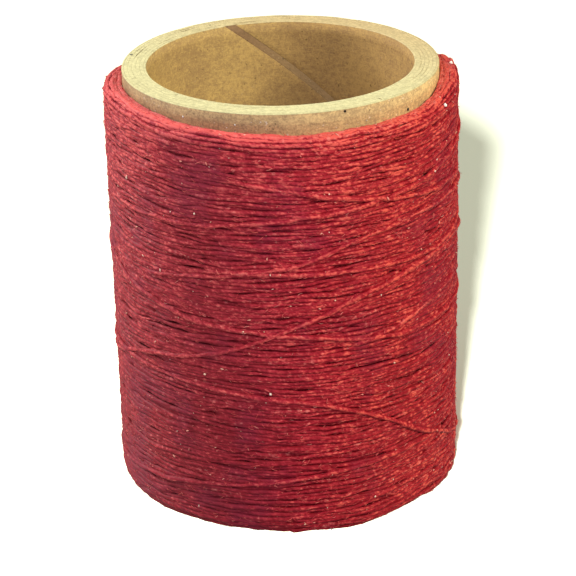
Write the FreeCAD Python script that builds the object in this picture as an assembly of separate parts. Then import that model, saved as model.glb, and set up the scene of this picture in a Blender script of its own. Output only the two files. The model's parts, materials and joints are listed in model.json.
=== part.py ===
import FreeCAD, Part
import math
import os

# Waxed thread spool: one long waxed thread, cross-wound on a short tube of paperboard.
#
# The tube is spiral wound. It is a liner, several core plies and a cover, each a long strip of
# paper that climbs round the axis and meets its own edge along a slanting seam. Every ply stays a
# strip of its own here, with its seam open, and the seams are staggered round the tube.
#
# The thread starts against the cover and is built up in layers. The buried layers are one plain
# ring. Over it lie the loops that show: an outer layer that climbs from the lower shoulder to the
# upper one, and a few steeper crossing turns that run back down over it.
#
# Millimetres. +Z is up along the tube's axis, and the origin is the centre of the tube's lower end.

# Paper tube
bore_diameter = 38.1
tube_length = 63.5
liner_thickness = 0.35
core_ply_thickness = 0.56
core_ply_count = 5
cover_thickness = 0.35

# Seams, where the two edges of one strip face each other
seam_climb = 38.5              # degrees from level, measured on the bore
liner_seam_gap = 1.1
core_seam_gap = 0.4
cover_seam_gap = 0.4
liner_seam_start = -127.3      # degrees round the axis, where the liner's seam leaves the lower end
seam_stagger = 111.0           # degrees from one ply's seam to the next one's

# Thread
thread_diameter = 0.6
buried_depth = 1.54            # layers under the loops that show
bare_top = 2.9                 # tube left bare above the buried layers
bare_bottom = 1.7              # tube left bare below them
top_shoulder = 0.7             # rounding of the buried layers' upper edge
bottom_shoulder = 0.6
lay_clearance = 0.03           # thread to what it lies on

# Loops
outer_loops = 20
crossing_loops = 4
top_reach = 75.0               # degrees round a shoulder that the outer layer covers
bottom_reach = 75.0
crossing_reach = 25.0          # the crossing turns keep further from the edges
loop_start = 118.0             # degrees round the axis, where the loops start, at the back

PARTS = "parts"
AXIS = FreeCAD.Vector(0, 0, 1)
ORIGIN = FreeCAD.Vector(0, 0, 0)

bore_radius = bore_diameter / 2
tube_radius = bore_radius + liner_thickness + core_ply_count * core_ply_thickness + cover_thickness
seam_lead = math.pi * bore_diameter * math.tan(math.radians(seam_climb))
buried_radius = tube_radius + buried_depth
thread_bottom = bare_bottom
thread_top = tube_length - bare_top
layer_step = thread_diameter + lay_clearance


def save(shape, node):
    """Writes one node as a STEP file, after a look at its solids."""
    if not shape.isValid() or not shape.Solids:
        raise ValueError(node + " is not a valid solid")
    shape.exportStep(os.path.join(PARTS, node + ".step"))
    print("%-24s %d solid(s), %.1f mm3" % (node, len(shape.Solids), shape.Volume))


def seam_slot(inner, outer, gap, start_angle):
    """The helical slot between the two edges of one strip, longer than the tube and through its wall."""
    spare = 4                                       # how many gaps or walls the slot runs on for
    past_end = spare * gap                          # past each end of the tube
    past_wall = min(inner, spare * (outer - inner))  # past each face of the ply
    axial_gap = gap / math.cos(math.radians(seam_climb))
    run = tube_length + 2 * past_end
    turn_back = 360 * past_end / seam_lead
    path = Part.makeHelix(seam_lead, run, (inner + outer) / 2)
    half = axial_gap / 2
    corners = [(inner - past_wall, -half), (outer + past_wall, -half), (outer + past_wall, half),
               (inner - past_wall, half), (inner - past_wall, -half)]
    section = Part.makePolygon([FreeCAD.Vector(x, 0, z) for x, z in corners])
    sweep = Part.BRepOffsetAPI.MakePipeShell(Part.Wire(path.Edges))
    sweep.setFrenetMode(True)
    sweep.add(section)
    sweep.build()
    sweep.makeSolid()
    slot = sweep.shape()
    slot.rotate(ORIGIN, AXIS, start_angle - turn_back)
    slot.translate(FreeCAD.Vector(0, 0, -past_end))
    return slot


def wound_ply(inner, outer, gap, start_angle):
    """One strip of paper, wound round the axis, with its own slanting seam left open."""
    ring = Part.makeCylinder(outer, tube_length).cut(Part.makeCylinder(inner, tube_length))
    return ring.cut(seam_slot(inner, outer, gap, start_angle)).Solids[0]


def make_tube():
    """Liner, core plies and cover, from the bore outwards."""
    inner = bore_radius
    start_angle = liner_seam_start
    plies = [("liner_ply", liner_thickness, liner_seam_gap)]
    for number in range(1, core_ply_count + 1):
        plies.append(("core_ply_%d" % number, core_ply_thickness, core_seam_gap))
    plies.append(("cover_ply", cover_thickness, cover_seam_gap))
    for node, thickness, gap in plies:
        save(wound_ply(inner, inner + thickness, gap, start_angle), node)
        inner += thickness
        start_angle += seam_stagger


def make_buried_layers():
    """The thread under the loops that show: a ring with two rounded shoulders."""
    def at(radius, height):
        return FreeCAD.Vector(radius, 0, height)

    def shoulder(centre_radius, centre_height, rounding, side):
        """The outward quarter arc of a shoulder; side is 1 at the top and -1 at the bottom."""
        part_way = math.radians(45)
        middle = at(centre_radius + rounding * math.cos(part_way),
                    centre_height + side * rounding * math.sin(part_way))
        return Part.Arc(at(centre_radius, centre_height + side * rounding), middle,
                        at(centre_radius + rounding, centre_height)).toShape()

    low = shoulder(buried_radius - bottom_shoulder, thread_bottom + bottom_shoulder,
                   bottom_shoulder, -1)
    high = shoulder(buried_radius - top_shoulder, thread_top - top_shoulder, top_shoulder, 1)
    edges = [
        Part.makeLine(at(tube_radius, thread_bottom), at(buried_radius - bottom_shoulder, thread_bottom)),
        low,
        Part.makeLine(at(buried_radius, thread_bottom + bottom_shoulder),
                      at(buried_radius, thread_top - top_shoulder)),
        high,
        Part.makeLine(at(buried_radius - top_shoulder, thread_top), at(tube_radius, thread_top)),
        Part.makeLine(at(tube_radius, thread_top), at(tube_radius, thread_bottom)),
    ]
    face = Part.Face(Part.Wire(Part.__sortEdges__(edges)))
    save(face.revolve(ORIGIN, AXIS, 360), "buried_thread_layers")


class LaySurface:
    """Where a loop's centreline can lie: the buried layers' outline, moved out by an offset.

    The outline is measured along its own length, from reach degrees round the lower shoulder, up
    the straight side, to reach degrees round the upper one.
    """

    def __init__(self, offset, low_reach, high_reach):
        self.low_arc = bottom_shoulder + offset
        self.high_arc = top_shoulder + offset
        self.low_angle = math.radians(low_reach)
        self.high_angle = math.radians(high_reach)
        self.low_centre = thread_bottom + bottom_shoulder
        self.high_centre = thread_top - top_shoulder
        self.side = self.high_centre - self.low_centre
        self.length = self.low_arc * self.low_angle + self.side + self.high_arc * self.high_angle

    def at(self, along):
        """Radius and height at a distance along the outline."""
        low_length = self.low_arc * self.low_angle
        if along < low_length:
            angle = self.low_angle - along / self.low_arc
            radius = buried_radius - bottom_shoulder + self.low_arc * math.cos(angle)
            return radius, self.low_centre - self.low_arc * math.sin(angle)
        if along <= low_length + self.side:
            return buried_radius - bottom_shoulder + self.low_arc, self.low_centre + along - low_length
        angle = (along - low_length - self.side) / self.high_arc
        radius = buried_radius - top_shoulder + self.high_arc * math.cos(angle)
        return radius, self.high_centre + self.high_arc * math.sin(angle)


def centreline(surface, loops, rising, start_angle):
    """Points and directions of the thread at every quarter turn.

    The thread always runs anticlockwise seen from above, and it climbs or sinks at a steady rate
    along the outline.
    """
    quarter = 0.25
    nudge = 0.001              # turns either way, for a point's direction
    count = round(loops / quarter)

    def place(turns):
        share = turns / loops
        radius, height = surface.at(surface.length * (share if rising else 1.0 - share))
        angle = math.radians(start_angle) + 2 * math.pi * turns
        return FreeCAD.Vector(radius * math.cos(angle), radius * math.sin(angle), height)

    points, directions = [], []
    for index in range(count + 1):
        turns = loops * index / count
        step = place(min(turns + nudge, loops)) - place(max(turns - nudge, 0.0))
        points.append(place(turns))
        directions.append(step.normalize())
    return points, directions


def biarc(start, start_way, end, end_way):
    """Two arcs that leave start along start_way, meet smoothly and reach end along end_way."""
    chord = end - start
    ways = start_way + end_way
    bend = 2 * (1 - start_way.dot(end_way))
    across = chord.dot(ways)
    reach = (-across + math.sqrt(across * across + bend * chord.dot(chord))) / bend
    start_corner = start + start_way * reach
    end_corner = end - end_way * reach
    joint = (start_corner + end_corner) * 0.5
    return [arc_by_corner(start, start_corner, joint), arc_by_corner(joint, end_corner, end)]


def arc_by_corner(start, corner, end):
    """The arc from start to end whose two tangents cross at corner."""
    chord_middle = (start + end) * 0.5
    half = (end - start).Length / 2
    leg = (corner - start).Length
    rise = (corner - chord_middle).Length
    bulge = half * rise / (leg + half)
    return Part.Arc(start, chord_middle + (corner - chord_middle) * (bulge / rise), end).toShape()


def wind(surface, loops, rising, start_angle, node):
    """One unbroken run of thread, laid on a surface, with a straight end one diameter long."""
    points, directions = centreline(surface, loops, rising, start_angle)
    first = points[0] - directions[0] * thread_diameter
    last = points[-1] + directions[-1] * thread_diameter
    edges = [Part.makeLine(first, points[0])]
    for start, start_way, end, end_way in zip(points, directions, points[1:], directions[1:]):
        edges += biarc(start, start_way, end, end_way)
    edges.append(Part.makeLine(points[-1], last))
    path = Part.Wire(edges)
    section = Part.Wire(Part.makeCircle(thread_diameter / 2, first, directions[0]))
    sweep = Part.BRepOffsetAPI.MakePipeShell(path)
    sweep.add(section)
    sweep.build()
    sweep.makeSolid()
    thread = sweep.shape()
    exact = math.pi * (thread_diameter / 2) ** 2 * path.Length
    print("%s: %.1f mm long, volume %.4f of its section times its length, least gap to itself %.2f mm"
          % (node, path.Length, thread.Volume / exact, least_gap(edges, loops)))
    save(thread, node)


def least_gap(edges, loops):
    """Smallest gap between two turns of one run, on points of its own centreline."""
    points_per_edge = 5
    points = []
    for edge in edges:
        points += edge.discretize(points_per_edge + 1)[:-1]
    turn = int(len(points) / loops)
    nearest = float("inf")
    for index, point in enumerate(points):
        for other in points[index + turn // 2:index + 2 * turn]:
            nearest = min(nearest, point.distanceToPoint(other))
    return nearest - thread_diameter


def make_thread():
    """The buried layers, the outer layer on them and the crossing turns on that."""
    make_buried_layers()
    on_buried = thread_diameter / 2 + lay_clearance
    outer = LaySurface(on_buried, bottom_reach, top_reach)
    wind(outer, outer_loops, True, loop_start, "outer_thread_layer")
    crossing = LaySurface(on_buried + layer_step, crossing_reach, crossing_reach)
    crossing_start = loop_start + 360 * outer_loops
    wind(crossing, crossing_loops, False, crossing_start, "crossing_thread_turns")


os.makedirs(PARTS, exist_ok=True)
make_tube()
make_thread()
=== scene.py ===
import json
import math
import bpy
import numpy as np
from mathutils import Matrix, Vector


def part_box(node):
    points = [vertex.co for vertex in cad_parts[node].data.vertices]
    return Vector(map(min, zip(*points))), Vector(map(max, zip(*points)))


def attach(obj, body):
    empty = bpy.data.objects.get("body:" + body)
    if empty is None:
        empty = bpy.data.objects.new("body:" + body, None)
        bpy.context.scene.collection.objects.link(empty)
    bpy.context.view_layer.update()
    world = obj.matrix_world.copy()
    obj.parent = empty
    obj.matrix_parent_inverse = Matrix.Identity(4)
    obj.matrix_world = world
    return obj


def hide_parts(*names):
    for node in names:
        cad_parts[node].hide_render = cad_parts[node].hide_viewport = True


# A spool of waxed thread on a short tube of spiral-wound paperboard.
# Lengths are millimetres until a mesh is made. Azimuths are degrees round the tube's axis:
# 270 faces the camera, and 0 is on its right.

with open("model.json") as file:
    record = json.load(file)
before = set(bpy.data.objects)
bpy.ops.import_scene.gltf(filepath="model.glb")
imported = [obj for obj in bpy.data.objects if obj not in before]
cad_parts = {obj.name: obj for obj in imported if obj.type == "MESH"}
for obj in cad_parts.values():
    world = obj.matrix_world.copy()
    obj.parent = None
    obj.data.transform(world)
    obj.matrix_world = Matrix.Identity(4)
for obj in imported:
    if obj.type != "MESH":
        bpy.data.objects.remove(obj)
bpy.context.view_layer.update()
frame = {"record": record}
mm = 0.001
turn = 2 * math.pi


def sizesOf(node):
    # outer radius, lowest and highest point of a node that is round about the axis
    low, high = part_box(node)
    return max(-low.x, high.x, -low.y, high.y) / mm, low.z / mm, high.z / mm


def smooth(x):
    # 0 below 0, 1 above 1, and an S-shaped climb between them
    x = np.clip(x, 0, 1)
    return x * x * (3 - 2 * x)


def unit(vectors):
    return vectors / np.linalg.norm(vectors, axis=-1, keepdims=True)


def drift(count, knotSpacing, rng):
    # count numbers that wander about 0: random values at evenly spaced knots, and an S-shaped climb from
    # each to the next
    knots = rng.normal(size=int(count / knotSpacing) + 3)
    place = np.arange(count) / knotSpacing + rng.random()
    below = place.astype(int)
    share = smooth(place - below)
    return knots[below] * (1 - share) + knots[below + 1] * share


def blur(values, width):
    # running mean with a bell-shaped weight, the ends held
    reach = int(3 * width)
    weights = np.exp(-0.5 * (np.arange(-reach, reach + 1) / width) ** 2)
    padded = np.pad(values, reach, mode="edge")
    return np.convolve(padded, weights / weights.sum(), mode="valid")


def blurOn(before, values, width):
    # the same for values that follow on from others
    return blur(np.concatenate([before, values]), width)[len(before):]


# Meshes

def makeMesh(name, points, quads, maps={}, marks={}):
    # points in millimetres and faces of four corners; maps hold coordinates for each face's corners, and
    # marks a value for each point
    points = points.reshape(-1, 3)
    mesh = bpy.data.meshes.new(name)
    mesh.vertices.add(len(points))
    mesh.vertices.foreach_set("co", (points * mm).ravel())
    mesh.loops.add(quads.size)
    mesh.loops.foreach_set("vertex_index", quads.ravel().astype(np.int32))
    mesh.polygons.add(len(quads))
    mesh.polygons.foreach_set("loop_start", np.arange(0, quads.size, 4, dtype=np.int32))
    mesh.polygons.foreach_set("use_smooth", np.full(len(quads), True))
    for label, corners in maps.items():
        mesh.uv_layers.new(name=label).data.foreach_set("uv", corners.ravel().astype(np.float32))
    for label, values in marks.items():
        mark = mesh.attributes.new(label, "FLOAT", "POINT")
        mark.data.foreach_set("value", values.ravel().astype(np.float32))
    mesh.update(calc_edges=True)
    mesh.validate()
    piece = bpy.data.objects.new(name, mesh)
    bpy.context.scene.collection.objects.link(piece)
    return piece


def finishPiece(piece, material, slot, *nodes):
    piece.data.materials.append(material)
    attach(piece, "root")
    if nodes:
        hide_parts(*nodes)


def ringsAlong(path, outward, radius, sides, phase=None, lobes=0.0, flatten=0.0):
    # A profile of given sides carried along one path or many. At each point the ring stands square to the
    # path; its radius is radius * (1 + lobes * cos(2 * angle - phase)), and it is wider than high by flatten.
    ahead = unit(np.gradient(path, axis=-2))
    up = unit(outward - (outward * ahead).sum(-1, keepdims=True) * ahead)
    aside = np.cross(up, ahead)
    angle = np.arange(sides) * turn / sides
    wide = radius[..., None] * np.ones(sides)
    if phase is not None:
        wide = wide * (1 + lobes * np.cos(2 * angle - phase[..., None]))
    rise = (wide * np.cos(angle) * (1 - flatten))[..., None] * up[..., None, :]
    spread = (wide * np.sin(angle) * (1 + flatten))[..., None] * aside[..., None, :]
    return path[..., None, :] + rise + spread


def tubeQuads(rings, sides):
    # side faces of a tube of rings, and its two flat ends as strips of quads
    here = np.arange(rings - 1)[:, None] * sides + np.arange(sides)
    beside = np.roll(here, -1, axis=1)
    walls = np.stack([here, here + sides, beside + sides, beside], -1).reshape(-1, 4)
    rung = np.arange(sides // 2 - 1)
    first = np.stack([rung, rung + 1, sides - 2 - rung, sides - 1 - rung], -1)
    return walls, first, first[:, ::-1] + (rings - 1) * sides


def joinTubes(name, tubes, sides, rowsInMap):
    # One mesh of many tubes. Each tube is (ring points, length so far at each ring, marks at each ring).
    # The lay map has turns round the strand and millimetres along it; the bake map stacks the tubes'
    # walls end to end in rows that fill the unit square.
    points, quads, layMap, cells, marks = [], [], [], [], []
    offset = ringCount = 0
    for rings, lengths, values in tubes:
        count = len(rings)
        walls, first, last = tubeQuads(count, sides)
        ring, side = np.indices((count - 1, sides)).reshape(2, -1)
        lay = np.stack([(side[:, None] + [0, 0, 1, 1]) / sides, lengths[ring[:, None] + [0, 1, 1, 0]]], -1)
        layMap += [lay.reshape(-1, 2), np.repeat([(0, lengths[0]), (0, lengths[-1])], 4 * len(first), axis=0)]
        cells += [np.stack([ring + ringCount, side], -1), np.full((2 * len(first), 2), (ringCount, sides))]
        quads += [walls + offset, first + offset, last + offset]
        points.append(rings.reshape(-1, 3))
        marks.append(np.repeat(values, sides, axis=0))
        offset += count * sides
        ringCount += count
    ring, side = np.concatenate(cells).T
    perRow = math.ceil(ringCount / rowsInMap)
    lanes = sides + 1.5        # one more than the sides for the tube's ends, and half of one left free
    corner = np.stack([(ring % perRow) / perRow, (ring // perRow + side / lanes) / rowsInMap], -1)
    wide, tall = 1 / perRow, 1 / lanes / rowsInMap
    bake = corner[:, None] + np.array([(0, 0), (wide, 0), (wide, tall), (0, tall)])
    tone, dust = np.concatenate(marks).T
    return makeMesh(name, np.concatenate(points), np.concatenate(quads),
                    {"lay": np.concatenate(layMap), "OFBake": bake}, {"tone": tone, "dust": dust})


# Shaders

class Wire:
    # One output socket. Arithmetic on it adds Math nodes, and plain numbers may stand on either side.
    def __init__(self, finish, socket):
        self.finish = finish
        self.socket = socket

    def maths(self, operation, *values):
        return self.finish.node("ShaderNodeMath", {"operation": operation}, dict(enumerate(values)))

    def __add__(self, other):
        return self.maths("ADD", self, other)

    def __radd__(self, other):
        return self.maths("ADD", other, self)

    def __sub__(self, other):
        return self.maths("SUBTRACT", self, other)

    def __rsub__(self, other):
        return self.maths("SUBTRACT", other, self)

    def __mul__(self, other):
        return self.maths("MULTIPLY", self, other)

    def __rmul__(self, other):
        return self.maths("MULTIPLY", other, self)

    def __truediv__(self, other):
        return self.maths("DIVIDE", self, other)

    def __pow__(self, other):
        return self.maths("POWER", self, other)

    def sine(self):
        return self.maths("SINE", self)

    def size(self):
        return self.maths("ABSOLUTE", self)

    def between(self, low, high):
        # 0 at low and 1 at high, with an S-shaped climb
        return self.finish.node("ShaderNodeMapRange", {"interpolation_type": "SMOOTHSTEP"},
                                {"Value": self, "From Min": low, "From Max": high})


class Finish:
    # A material being built on its Principled shader. Colours are given as red, green and blue.
    def __init__(self, name, **constants):
        self.material = bpy.data.materials.new(name)
        self.material.use_nodes = True
        self.tree = self.material.node_tree
        self.shader = self.tree.nodes["Principled BSDF"]
        self.set(self.shader, constants)

    def set(self, node, inputs):
        for key, value in inputs.items():
            socket = node.inputs[key.replace("_", " ") if isinstance(key, str) else key]
            if isinstance(value, Wire):
                self.tree.links.new(value.socket, socket)
            else:
                socket.default_value = (*value, 1) if socket.type == "RGBA" else value

    def node(self, kind, settings={}, inputs={}, output=0):
        made = self.tree.nodes.new(kind)
        for key, value in settings.items():
            setattr(made, key, value)
        self.set(made, inputs)
        return Wire(self, made.outputs[output])

    def noise(self, vector, scale, detail=2.0, roughness=0.5):
        return self.node("ShaderNodeTexNoise", {},
                         {"Vector": vector, "Scale": scale, "Detail": detail, "Roughness": roughness})

    def place(self, scale, turned=(0, 0, 0), mapName=None):
        # coordinates on the object in metres, or in one of its maps, then stretched and turned
        if mapName:
            source = self.node("ShaderNodeUVMap", {"uv_map": mapName})
        else:
            source = self.node("ShaderNodeTexCoord", output="Object")
        return self.node("ShaderNodeMapping", {}, {"Vector": source, "Scale": scale, "Rotation": turned})

    def parts(self, vector):
        # a vector's three numbers
        apart = self.node("ShaderNodeSeparateXYZ", {}, {0: vector}).socket.node
        return [Wire(self, socket) for socket in apart.outputs]

    def ramp(self, share, stops):
        # a colour that runs through the stops, which are (share, colour)
        made = self.node("ShaderNodeValToRGB", {}, {"Fac": share}, output="Color")
        elements = made.socket.node.color_ramp.elements
        while len(elements) < len(stops):
            elements.new(0.5)
        for element, (place, colour) in zip(elements, stops):
            element.position = place
            element.color = (*colour, 1)
        return made

    def mix(self, share, first, second, blend="MIX"):
        return self.node("ShaderNodeMix", {"data_type": "RGBA", "blend_type": blend},
                         {0: share, 6: first, 7: second}, output=2)

    def mark(self, label):
        return self.node("ShaderNodeAttribute", {"attribute_name": label}, output="Fac")

    def bump(self, height, depth, strength):
        return self.node("ShaderNodeBump", {}, {"Height": height, "Distance": depth, "Strength": strength})

    def close(self, **inputs):
        self.set(self.shader, inputs)
        return self.material


def shade(colour, share):
    return [share * part for part in colour]


# Paper tube

paper = dict(
    seamClimb=38.5,            # degrees from level, on the bore
    firstSeam=-127.3,          # azimuth where the liner's seam leaves the lower end
    seamStagger=111.0,         # degrees from one ply's seam to the next one's
    cutRoughness=0.022,        # unevenness of the cut ends
    outOfRound=0.012,
    pressedWidth=0.60,         # how far from its seam the liner is pressed thin
    bulge=0.265,               # how far the ply beneath swells into the liner's seam
    bulgeWidth=1.17,           # half of what it swells over
    rowSpacing=1.5,            # of the mesh, up the wall
    plyThickness=0.56,         # from one faint line to the next on the cut ends
    lineShift=0.37,            # how far past such a line the bore's wall is, in plies
)
# The three kinds of strip. Rounding is of the edges on its inner and its outer side, columns is how many
# its mesh has, and the tint comes in from the first X of its range to the second.
strips = dict(
    liner=dict(
        finish="liner paper", gap=1.1, rounding=(0.14, 0.012), columns=240,
        pressing=0.07,         # how much thinner it is at its seam, which stays open
        pale=(0.515, 0.343, 0.110), dark=(0.31, 0.194, 0.074), cutEnd=(0.62, 0.575, 0.305),
        fleck=(0.62, 0.46, 0.24), fleckShare=0.2, tint=(0.90, 0.84, 0.83), tintRange=(-10, 8)),
    # The core's wall shows only in the liner's seam; its dark colours are partly the board's own and partly
    # painted shade in the seam, which its tint lifts towards the right.
    core=dict(
        finish="core board", gap=0.05, rounding=(0.012, 0.012), columns=180, pressing=0.0,
        pale=(0.26, 0.153, 0.070), dark=(0.19, 0.112, 0.052), cutEnd=(0.61, 0.565, 0.30),
        fleck=(0.6, 0.45, 0.25), fleckShare=0.3, tint=(1.60, 1.76, 1.64), tintRange=(-7, 3)),
    # The cover's tint is painted shade, darker towards the left where less light falls.
    cover=dict(
        finish="cover paper", gap=0.16, rounding=(0.012, 0.22), columns=240, pressing=0.0,
        pale=(0.76, 0.510, 0.210), dark=(0.38, 0.244, 0.110), cutEnd=(0.595, 0.54, 0.28),
        fleck=(0.84, 0.68, 0.50), fleckShare=0.6, tint=(0.60, 0.575, 0.66), tintRange=(22, -6)),
)
boreRadius = frame["record"]["mounts"][0]["dims"]["r_mm"]
tubeRadius, tubeLow, tubeHigh = sizesOf("cover_ply")
seamLead = turn * boreRadius * math.tan(math.radians(paper["seamClimb"]))


def plyMesh(name, inner, outer, seamStart, strip, seed, bulgeAt=None):
    # A closed wall: the loop (radius, height) runs up the outer face, over the rounded upper end, down the
    # inner face and round the lower end, and is carried round the axis from one seam edge to the other.
    # Each point is also turned by its height over the seam's lead, so both edges climb as helices.
    rng = np.random.default_rng(seed)
    length = tubeHigh - tubeLow
    middle = (inner + outer) / 2

    def side(face, rounding, outward):
        # half of the loop, from the lower end to the upper one, with a quarter arc at each end
        arc = np.radians(np.linspace(0, 90, 5))
        rise, fall = rounding * (1 - np.cos(arc)), rounding * (1 - np.sin(arc))
        straight = np.linspace(rounding, length - rounding, int(length / paper["rowSpacing"]))
        radii = np.concatenate([face - outward * fall, np.full(len(straight), face), face - outward * rise])
        heights = np.concatenate([rise, straight, length - fall])
        cut = np.concatenate([np.cos(arc), np.zeros(len(straight)), np.sin(arc)])
        return radii, heights, cut

    halves = zip(side(outer, strip["rounding"][1], 1), side(inner, strip["rounding"][0], -1))
    radii, heights, cut = (np.concatenate([outside, inside[::-1]]) for outside, inside in halves)
    slotWidth = strip["gap"] / math.sin(math.radians(paper["seamClimb"])) / middle
    # the columns, with four more close to each seam edge, and some where the wall bulges
    extra = np.array([0.2, 0.4, 0.6, 0.8])
    azimuth = np.linspace(slotWidth / 2, turn - slotWidth / 2, strip["columns"] - 2 * len(extra))
    close = (azimuth[1] - azimuth[0]) * extra
    bulging = [] if bulgeAt is None else bulgeAt + np.linspace(-1.5, 1.5, 25) / middle
    azimuth = np.sort(np.concatenate([azimuth, azimuth[0] + close, azimuth[-1] - close, bulging]))
    columns = len(azimuth)
    angles = azimuth[:, None] + math.radians(seamStart) + turn * heights / seamLead
    # the saw leaves each end a little uneven, and the wall is not quite round
    lift = paper["cutRoughness"] * (np.abs(drift(columns, 5, rng)) + 0.5 * np.abs(drift(columns, 1.6, rng)))
    inwards = np.where(heights > length / 2, -1.0, 1.0) * smooth(cut * 1.2)
    tall = tubeLow + heights + inwards * lift[:, None]
    wide = radii + paper["outOfRound"] * np.sin(3 * angles)
    # towards its own seam a strip is pressed thin, on its inner side
    nearSeam = np.minimum(azimuth - azimuth[0], azimuth[-1] - azimuth)[:, None] * middle
    innerShare = np.clip((outer - radii) / (outer - inner), 0, 1)
    wide = wide + strip["pressing"] * np.exp(-(nearSeam / paper["pressedWidth"]) ** 2) * innerShare
    if bulgeAt is not None:
        fromBulge = (azimuth - bulgeAt)[:, None] * middle
        wide = wide - paper["bulge"] * innerShare * np.exp(-(fromBulge / paper["bulgeWidth"]) ** 10)
    points = np.stack([wide * np.cos(angles), wide * np.sin(angles), tall], -1)
    quads = np.concatenate(tubeQuads(columns, len(radii)))
    # the sheet map: millimetres along the strip's turn and up the wall
    sheet = np.stack(np.broadcast_arrays((azimuth * middle)[:, None], heights), -1)
    return makeMesh(name, points, quads, {"sheet": sheet.reshape(-1, 2)[quads]},
                    {"cut": np.broadcast_to(cut, angles.shape)})


def paperFinish(strip):
    # Pulp paper: soft mottling, grain, short fibres along the strip, dark and pale flecks. The wall takes on
    # a tint over a range of X. The cut ends are paler, with faint lines where the plies meet, and browner on
    # the right and at the back.
    finish = Finish(strip["finish"], Specular_IOR_Level=0.25)
    own = finish.place((1000, 1000, 1000))                       # millimetres
    alongStrip = finish.place((0.35, 2.4, 1), (0, 0, math.radians(-paper["seamClimb"])), "sheet")
    aside, behind, _ = finish.parts(own)
    cloud = finish.noise(own, 0.12, 3.0)
    mottle = finish.noise(own, 0.7, 4.0, 0.65)
    fibre = finish.noise(alongStrip, 1.3, 4.0, 0.65)
    grain = finish.noise(own, 4.2, 3.0, 0.65)
    flecks = finish.noise(own, 1.9, 1.0)
    pulp = finish.noise(own, 2.2, 2.0, 0.6)
    pale = (cloud - 0.5) * 0.8 + (mottle - 0.5) * 0.8 + (fibre - 0.5) * 0.7 + (grain - 0.5) * 1.2 + pulp
    wall = finish.mix(pale.between(0.05, 0.95), strip["dark"], strip["pale"])
    wall = finish.mix(flecks.between(0.70, 0.77) * strip["fleckShare"], wall, strip["fleck"])
    wall = finish.mix(flecks.between(0.29, 0.24) * 0.6, wall, shade(strip["dark"], 0.3))
    # the tint over a range of X: on the liner darker to the right, on the cover painted shade on the left,
    # and on the core a lift of its painted seam shade towards the right
    wall = finish.mix(aside.between(*strip["tintRange"]), wall, strip["tint"], "MULTIPLY")
    cutEnd = finish.mix((mottle * 0.25 + flecks * 0.35 + grain * 0.4).between(0.32, 0.68),
                        shade(strip["cutEnd"], 0.68), shade(strip["cutEnd"], 1.03))
    outFromBore = (aside * aside + behind * behind) ** 0.5 - boreRadius
    fromLine = ((outFromBore / paper["plyThickness"] + paper["lineShift"]) * math.pi).sine().size()
    cutEnd = finish.mix(fromLine.between(0.42, 0.0) * mottle.between(0.35, 0.65) * 0.5, cutEnd,
                        shade(strip["cutEnd"], 0.55))
    cutEnd = finish.mix((aside * 0.6 + behind).between(-12, 30), cutEnd, (0.90, 0.74, 0.68), "MULTIPLY")
    isCut = finish.mark("cut").between(0.15, 0.55)
    normal = finish.bump(fibre * 0.5 + grain * 0.5 + isCut * (grain * 0.6), 0.00007, 0.9)
    return finish.close(Base_Color=finish.mix(isCut, wall, cutEnd), Normal=normal,
                        Roughness=0.78 + grain * 0.14)


def makeTube():
    finishes = {kind: paperFinish(strip) for kind, strip in strips.items()}
    nodes = ["liner_ply"] + ["core_ply_%d" % n for n in range(1, 6)] + ["cover_ply"]
    inner = boreRadius
    for order, node in enumerate(nodes):
        kind = node.split("_")[0]
        outer = sizesOf(node)[0]
        # the ply on the liner bulges where the liner's seam is, which is a stagger back from its own
        bulgeAt = math.radians(360 - paper["seamStagger"]) if order == 1 else None
        piece = plyMesh(node.replace("_ply", "_strip"), inner, outer,
                        paper["firstSeam"] + order * paper["seamStagger"], strips[kind], order, bulgeAt)
        finishPiece(piece, finishes[kind], kind + "_board", node)
        inner = outer
    print("tube: %d strips of paper" % len(nodes))


# Specks on the tube: azimuth, radius, height, size and tone
specks = [
    (292.1, 22.55, 63.1, 0.17, 0.0), (320.0, 22.55, 60.9, 0.19, 0.05), (168.0, 21.9, 63.5, 0.20, 0.35),
    (234.0, 22.55, 61.9, 0.12, 0.8), (254.0, 22.55, 61.8, 0.10, 0.75), (251.0, 22.55, 61.3, 0.07, 0.7),
    (300.5, 22.55, 61.2, 0.07, 0.7), (64.0, 22.55, 62.0, 0.12, 0.1), (120.0, 20.8, 63.5, 0.10, 0.2),
]
speckTones = [(0.0, (0.018, 0.012, 0.008)), (0.4, (0.16, 0.15, 0.12)), (1.0, (0.85, 0.80, 0.72))]
speckSeed = 31


def makeSpecks():
    # Each speck is a flat blob of a few rings, widest in the middle and half sunk into the paper.
    rng = np.random.default_rng(speckSeed)
    share = np.linspace(-1, 1, 5)
    tubes = []
    for azimuth, radius, height, size, tone in specks:
        around = math.radians(azimuth)
        isOnRim = radius < tubeRadius - 0.1
        outward = np.array([0.0, 0.0, 1.0] if isOnRim else [math.cos(around), math.sin(around), 0.0])
        centre = np.array([radius * math.cos(around), radius * math.sin(around), height])
        heading = unit(np.cross(outward, rng.normal(size=3)))
        path = centre + size * share[:, None] * heading
        thickness = size * np.array([0.35, 0.85, 1.0, 0.8, 0.3]) * rng.uniform(0.8, 1.1, 5)
        rings = ringsAlong(path, np.broadcast_to(outward, path.shape), thickness, 6, flatten=0.5)
        tubes.append((rings, share + 1, np.full((5, 2), tone)))
    finish = Finish("specks", Roughness=0.7, Specular_IOR_Level=0.2)
    speck = finish.close(Base_Color=finish.ramp(finish.mark("tone"), speckTones))
    finishPiece(joinTubes("specks_on_the_paper", tubes, 6, 4), speck, "cover_board")
    print("specks: %d on the paper" % len(tubes))


# Winding

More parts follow.
